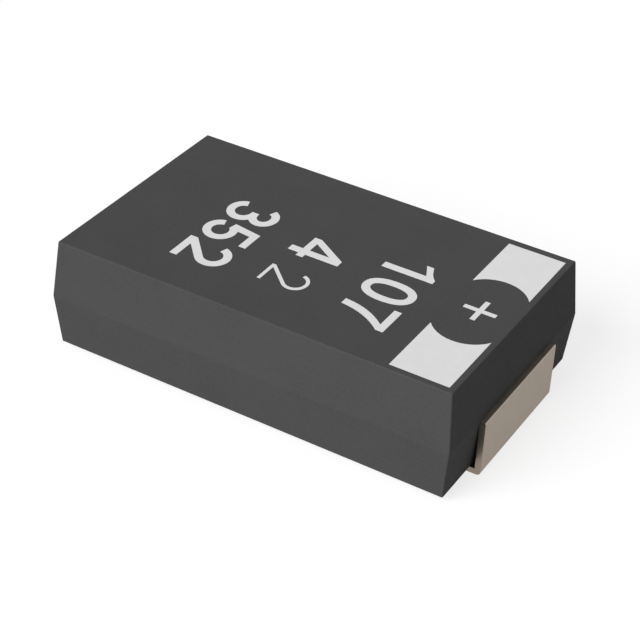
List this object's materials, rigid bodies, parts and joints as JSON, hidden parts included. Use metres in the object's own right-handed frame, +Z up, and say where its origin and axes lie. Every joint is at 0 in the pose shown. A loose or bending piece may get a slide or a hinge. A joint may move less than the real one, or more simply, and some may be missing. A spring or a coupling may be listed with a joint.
{
  "type": "tantalum capacitor",
  "caption": "Low-profile surface-mount tantalum capacitor: drafted black moulded case, bent tin-plated solder terminals and a white polarity bar at the anode end.",
  "frame": {"origin": "middle of the footprint, on the plane that the two feet are soldered to", "axes": "+X points along the length to the anode end, which the white bar marks; +Y across the width; +Z up, away from the board"},
  "size_m": [0.0074, 0.0044, 0.002],
  "materials": {
    "moulding_resin": "fine matt moulded epoxy",
    "white_print": "matt printed ink",
    "tinned_lead": "satin tin plate",
    "sintered_tantalum": "matt sintered powder",
    "tantalum_metal": "drawn wire",
    "washer_plastic": "matt white fluoropolymer",
    "conductive_polymer": "matt dipped coat",
    "carbon_coat": "dull graphite coat",
    "silver_paint": "matt silver paint",
    "silver_paste": "cured silver paste"
  },
  "bodies": {
    "root": {"moulded_case": "moulding_resin", "polarity_mark": "white_print", "anode_terminal": "tinned_lead", "cathode_terminal": "tinned_lead", "tantalum_pellet": "sintered_tantalum", "tantalum_wire": "tantalum_metal", "insulating_washer": "washer_plastic", "polymer_layer": "conductive_polymer", "carbon_layer": "carbon_coat", "silver_layer": "silver_paint", "silver_adhesive": "silver_paste"}
  },
  "joints": []
}
